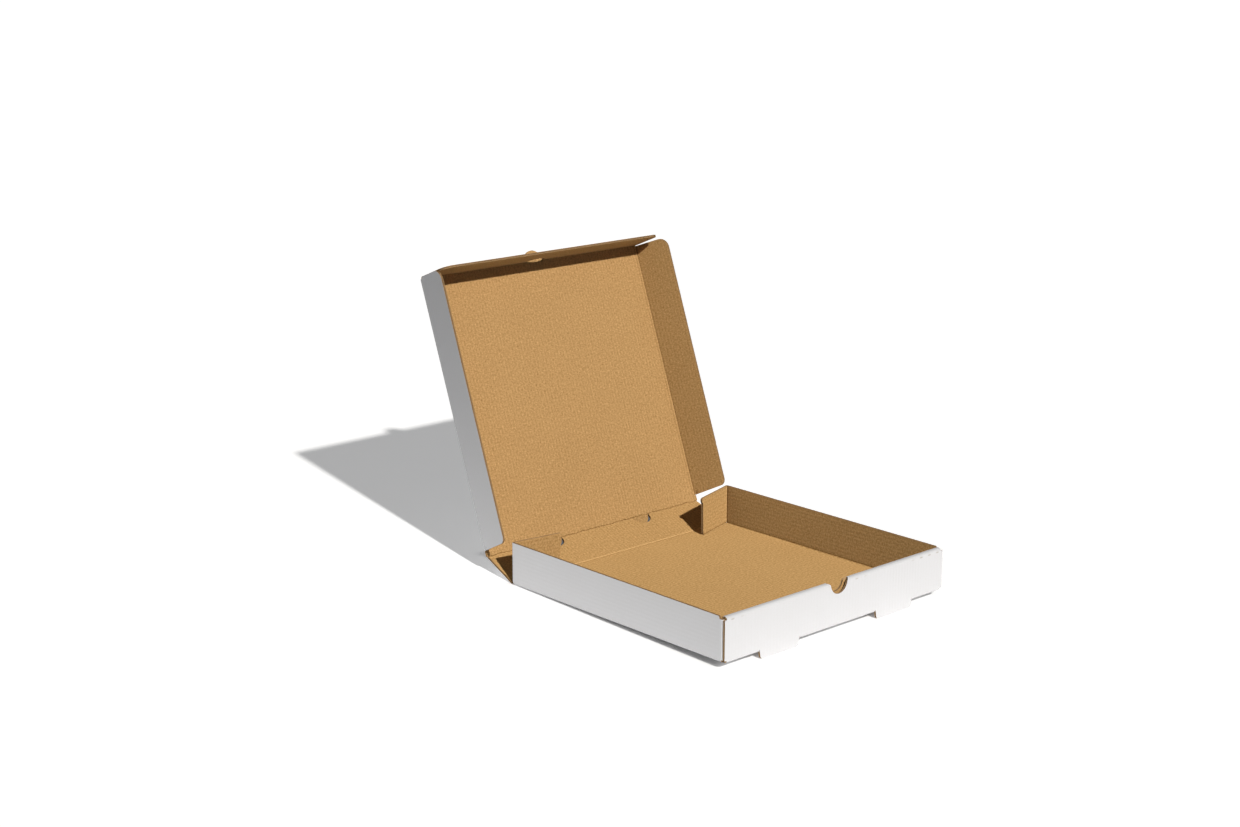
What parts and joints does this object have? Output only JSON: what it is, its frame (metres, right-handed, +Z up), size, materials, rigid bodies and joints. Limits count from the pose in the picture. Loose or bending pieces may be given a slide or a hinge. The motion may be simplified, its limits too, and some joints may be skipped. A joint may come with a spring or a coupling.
{
  "type": "pizza box",
  "caption": "Open one-piece corrugated pizza box: square tray with rolled front wall and feet, creased hinge panel, and a lid with a front flap and side flaps.",
  "frame": {"origin": "on the surface the box stands on, under the middle plane of the tray, halfway between the front wall and the back of the open lid", "axes": "+X to the box's right seen from its front wall, +Y from the front wall to the hinge and lid, +Z up from the surface it stands on"},
  "size_m": [0.2644, 0.3832, 0.2565],
  "materials": {
    "board": "matt white outer liner, brown kraft inner liner"
  },
  "bodies": {
    "tray": {"tray": "board"},
    "hinge_panel": {"hinge_panel": "board"},
    "lid_panel": {"lid_panel": "board"},
    "lid_front_flap": {"lid_front_flap": "board"},
    "lid_flap_left": {"lid_flap_left": "board"},
    "lid_flap_right": {"lid_flap_right": "board"},
    "rear_tab_left": {"rear_tab_left": "board"},
    "rear_tab_right": {"rear_tab_right": "board"}
  },
  "joints": [
    {"name": "tray_crease", "type": "hinge", "parent": "tray", "child": "hinge_panel", "pos_m": [0, 0.06073, 0.0018], "axis": [-1, 0, 0], "range_deg": [-22.8, 18.7]},
    {"name": "lid_crease", "type": "hinge", "parent": "hinge_panel", "child": "lid_panel", "pos_m": [0, 0.0965, 0.01399], "axis": [-1, 0, 0], "range_deg": [-37.4, 49.3]},
    {"name": "front_flap_crease", "type": "hinge", "parent": "lid_panel", "child": "lid_front_flap", "pos_m": [0, 0.18629, 0.24109], "axis": [-1, 0, 0], "range_deg": [-2, 88]},
    {"name": "left_flap_crease", "type": "hinge", "parent": "lid_panel", "child": "lid_flap_left", "pos_m": [-0.124, 0.1414, 0.12754], "axis": [0, 0.3677, 0.9299], "range_deg": [-82.2, 7.8]},
    {"name": "right_flap_crease", "type": "hinge", "parent": "lid_panel", "child": "lid_flap_right", "pos_m": [0.124, 0.1414, 0.12754], "axis": [0, -0.3677, -0.9299], "range_deg": [-76.7, 13.3]},
    {"name": "left_tab_crease", "type": "hinge", "parent": "tray", "child": "rear_tab_left", "pos_m": [-0.1262, 0.05905, 0.01944], "axis": [0, -0.024, -0.9997], "range_deg": [-7.5, 52.5]},
    {"name": "right_tab_crease", "type": "hinge", "parent": "tray", "child": "rear_tab_right", "pos_m": [0.1262, 0.05905, 0.01944], "axis": [0, 0.024, 0.9997], "range_deg": [-17, 43]}
  ]
}
